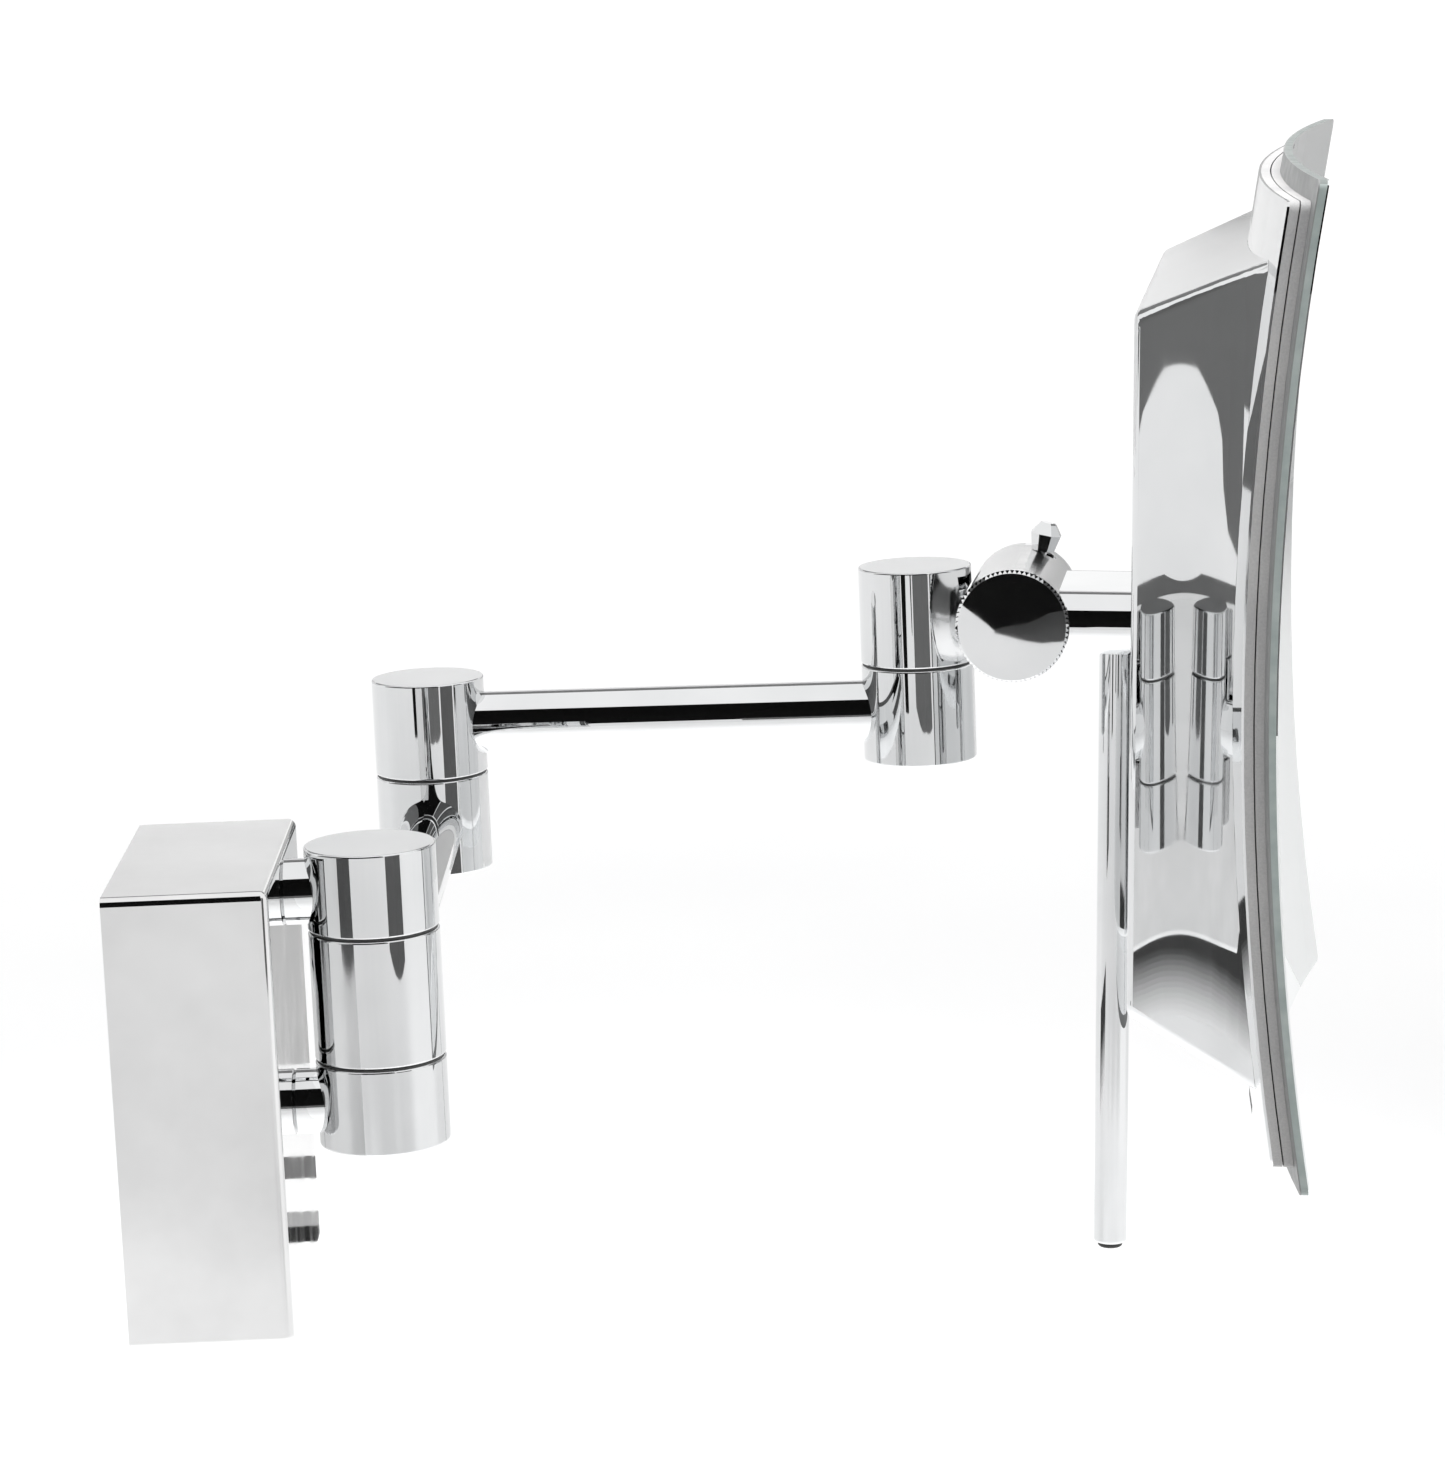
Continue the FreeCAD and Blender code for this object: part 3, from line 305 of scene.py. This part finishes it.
def mirror_glass():
    """Silvered glass: mirror on the hollow face, grey-green edges and a painted back.

    The distance from the centre of the glass's curve tells the three apart. Where the edge
    faces upward, its colour is painted a darker grey: painted shade.
    """
    look = Look("silvered_glass")
    reach = look.measure("DISTANCE", GLASS_CENTRE)
    face = look.maths("LESS_THAN", reach, GLASS_FACE + GLASS_SKIN)
    back = look.maths("GREATER_THAN", reach, GLASS_BACK - GLASS_SKIN)
    silver = look.blend(look.noise(18.0, 2.0), (0.83, 0.85, 0.85), (0.87, 0.89, 0.89))
    ground = look.blend(look.noise(220.0, 3.0), (0.23, 0.27, 0.26), (0.31, 0.345, 0.335))
    paint = look.blend(look.noise(60.0, 2.0), (0.17, 0.175, 0.175), (0.20, 0.205, 0.205))
    # Painted shade: the upward-facing part of the ground edge gets a darker grey colour.
    painted_shade_rim = look.blend(look.noise(220.0, 3.0), (0.13, 0.145, 0.14), (0.18, 0.195, 0.19))
    surface = look.node("ShaderNodeNewGeometry")
    parts = look.node("ShaderNodeSeparateXYZ")
    look.link(surface.outputs["Normal"], parts.inputs["Vector"])
    # Where the edge faces upward, painted shade replaces the ground glass colour.
    upward = look.maths("GREATER_THAN", parts.outputs["Z"], RIM_UPWARD)
    rim = look.either(upward, ground, painted_shade_rim)
    front = look.either(face, rim, silver)
    look.colour(look.either(back, front, paint))
    look.link(face, look.shader.inputs["Metallic"])
    haze = look.spread(look.noise(300.0, 2.0), 0.34, 0.46)
    off_face = look.maths("MULTIPLY_ADD", face, -1.0, 1.0)
    look.roughness(look.maths("MULTIPLY", haze, off_face))
    look.set(IOR=1.52)
    look.normal(look.bump(look.noise(9.0, 1.0), 0.03, 0.0004))
    return look.material


def lamp():
    """A square lamp with its yellow phosphor window, switched off."""
    look = Look("lamp")
    look.colour(look.blend(look.noise(900.0, 2.0), (0.90, 0.72, 0.20), (0.96, 0.84, 0.40)))
    look.roughness(look.spread(look.noise(600.0, 2.0), 0.15, 0.3))
    return look.material


def dress(node, material):
    """Give every slot of a CAD node one material."""
    for slot in NODES[node].material_slots:
        slot.material = material


FINISHES = {
    "polished_chrome": polished_chrome(),
    "satin_chrome": cover_chrome(),
    "plated_steel": steel("plated_steel", (0.52, 0.53, 0.54), 0.34),
    "turned_steel": steel("turned_steel", (0.50, 0.50, 0.51), 0.28),
    "silvered_glass": mirror_glass(),
    "frosted_acrylic": frosted_band(),
    "black_rubber": plastic("black_rubber", (0.025, 0.025, 0.025), 0.6),
    "black_nylon": plastic("black_nylon", (0.03, 0.03, 0.03), 0.45),
    "white_nylon": plastic("white_nylon", (0.78, 0.78, 0.75), 0.45),
    "driver_case": plastic("driver_case", (0.06, 0.06, 0.065), 0.5),
    "board": plastic("board", (0.80, 0.80, 0.77), 0.3),
    "lamp": lamp(),
    "wire_sheath": plastic("wire_sheath", (0.70, 0.70, 0.68), 0.5),
}
for part in frame["record"]["subparts"]:
    dress(part["node"], FINISHES[part["material_slot"]])
dress("rear_housing", pressed_chrome())
dress("tilt_drum", brushed_chrome())


# ---------------------------------------------------------------- studio pieces
def stage_mesh(name, points, faces, material, camera_sees=True):
    mesh = bpy.data.meshes.new(name)
    mesh.from_pydata(points, [], faces)
    piece = bpy.data.objects.new(name, mesh)
    bpy.context.collection.objects.link(piece)
    mesh.materials.append(material)
    piece.visible_camera = camera_sees
    return piece


def paper_white():
    look = Look("studio_floor")
    look.colour(look.blend(look.noise(1.5, 2.0), (0.95, 0.95, 0.953), (0.97, 0.97, 0.97)))
    look.set(Roughness=0.9)
    return look.material


def floor():
    low, high = -FLOOR_REACH, FLOOR_REACH
    corners = ((low, low), (high, low), (high, high), (low, high))
    points = [(x, y, FLOOR_Z) for x, y in corners]
    return stage_mesh("floor", points, [(0, 1, 2, 3)], paper_white())


def card_paper(name, shade):
    look = Look(name)
    look.set(Roughness=1.0, Specular_IOR_Level=0.0)
    look.shader.inputs["Base Color"].default_value = (shade, shade, shade, 1.0)
    return look.material


def level(height, *headings):
    """A card's lower edge when it is level."""
    return tuple((heading, height) for heading in headings)


def card(name, lower_edge, top, shade, radius=CARD_RADIUS):
    """A curved card around the object, with its lower edge cut to a line of points.

    Each point is a heading from -Y towards -X, and a height. The camera doesn't see the card,
    but polished metal does.
    """
    points = []
    for heading, low in lower_edge:
        turn = math.radians(heading)
        for height in (low, top):
            rise = radius * math.tan(math.radians(height))
            points.append((-radius * math.sin(turn), -radius * math.cos(turn), rise))
    corners = range(0, 2 * len(lower_edge) - 2, 2)
    faces = [(low, low + 2, low + 3, low + 1) for low in corners]
    return stage_mesh(name, points, faces, card_paper(name, shade), camera_sees=False)


def sill():
    """A card that is dark at the top and fades out downwards, step by step."""
    card("card_sill", level(SILL_FOOT, *SILL_HEADINGS), SILL_TOP, SILL_SHADE, LOW_RADIUS)
    depth = (SILL_END - SILL_FOOT) / SILL_STEPS
    dark, pale = SILL_SHADES
    for step in range(SILL_STEPS):
        top = SILL_FOOT + step * depth
        edge = level(top + depth, *SILL_HEADINGS)
        shade = dark + (pale - dark) * step / SILL_STEPS
        card(f"card_sill_{step}", edge, top, shade, LOW_RADIUS)


def softbox(name, place, target, size, watts):
    """A square lamp that lights the object without being reflected in it."""
    light = bpy.data.lights.new(name, "AREA")
    light.shape = "RECTANGLE"
    light.size, light.size_y = size
    light.energy = watts
    lamp_object = bpy.data.objects.new(name, light)
    lamp_object.location = place
    lamp_object.visible_glossy = False
    aim = Vector(target) - Vector(place)
    lamp_object.rotation_euler = aim.to_track_quat("-Z", "Y").to_euler()
    bpy.context.collection.objects.link(lamp_object)


def world():
    sky = bpy.data.worlds.new("studio")
    bpy.context.scene.world = sky
    sky.use_nodes = True
    background = sky.node_tree.nodes["Background"]
    background.inputs["Color"].default_value = (1.0, 1.0, 1.0, 1.0)
    background.inputs["Strength"].default_value = WORLD_STRENGTH
    bpy.context.scene.view_settings.view_transform = "Standard"


def camera():
    lens = bpy.data.cameras.new("camera")
    lens.sensor_width = SENSOR
    lens.lens = CAMERA_LENS
    viewer = bpy.data.objects.new("camera", lens)
    viewer.location = CAMERA_PLACE
    bpy.context.collection.objects.link(viewer)
    heading = math.radians(CAMERA_HEADING)
    down = math.radians(CAMERA_DOWN)
    forward = Vector(
        (
            math.sin(heading) * math.cos(down),
            math.cos(heading) * math.cos(down),
            -math.sin(down),
        )
    )
    upright = forward.to_track_quat("-Z", "Y")
    viewer.rotation_mode = "QUATERNION"
    viewer.rotation_quaternion = upright @ Quaternion((0, 0, 1), math.radians(CAMERA_ROLL))
    bpy.context.scene.camera = viewer


world()
floor()
card("card_front", FRONT_EDGE, TALL_TOP, shade=0.006)
card("card_left", LEFT_EDGE, TALL_TOP, shade=0.15)
card("card_low", ((-27, -10.2), (-14, -10.4), (6, -10.2)), -3, 0.13, LOW_RADIUS)
card("card_right", ((-57, -12.6), (-45, -12.9), (-30, -12.5)), 24, 0.10, NEAR_RADIUS)
card("card_haze", ((8.9, -9.05), (9.7, -9.05), (10.45, -8.95)), -8.0, 0.09, HAZE_RADIUS)
card("card_far", level(FAR_FOOT, *range(110, 181, 10), GAP_HEADINGS[0]), FAR_TOP, FAR_SHADE)
card("card_far_low", level(FAR_FOOT, *GAP_HEADINGS), GAP_FOOT, FAR_SHADE)
card("card_far_high", level(GAP_TOP, *GAP_HEADINGS), FAR_TOP, FAR_SHADE)
card("card_far_side", level(-11.5, GAP_HEADINGS[-1], *range(200, 251, 10)), FAR_TOP, FAR_SHADE)
card("card_hollow", ((188, -7.5), (201, -7), (215, -6)), 8.5, 0.42, NEAR_RADIUS)
sill()
card("card_back", level(24, *range(130, 231, 10)), top=46, shade=0.30)
card("card_sky", level(-14.4, *SLIT_HEADINGS), -12, 0.42, SLIT_RADIUS)
card("card_dusk", level(-16.2, *SLIT_HEADINGS), -15.85, 0.16, SLIT_RADIUS)
card("card_shelf", level(-16.95, *SLIT_HEADINGS), -16.72, 0.36, SLIT_RADIUS)
card("card_line", level(-17.2, *SLIT_HEADINGS), -16.95, 0.02, SLIT_RADIUS)
softbox("overhead", OVERHEAD_PLACE, OVERHEAD_TARGET, OVERHEAD_SIZE, OVERHEAD_WATTS)
camera()
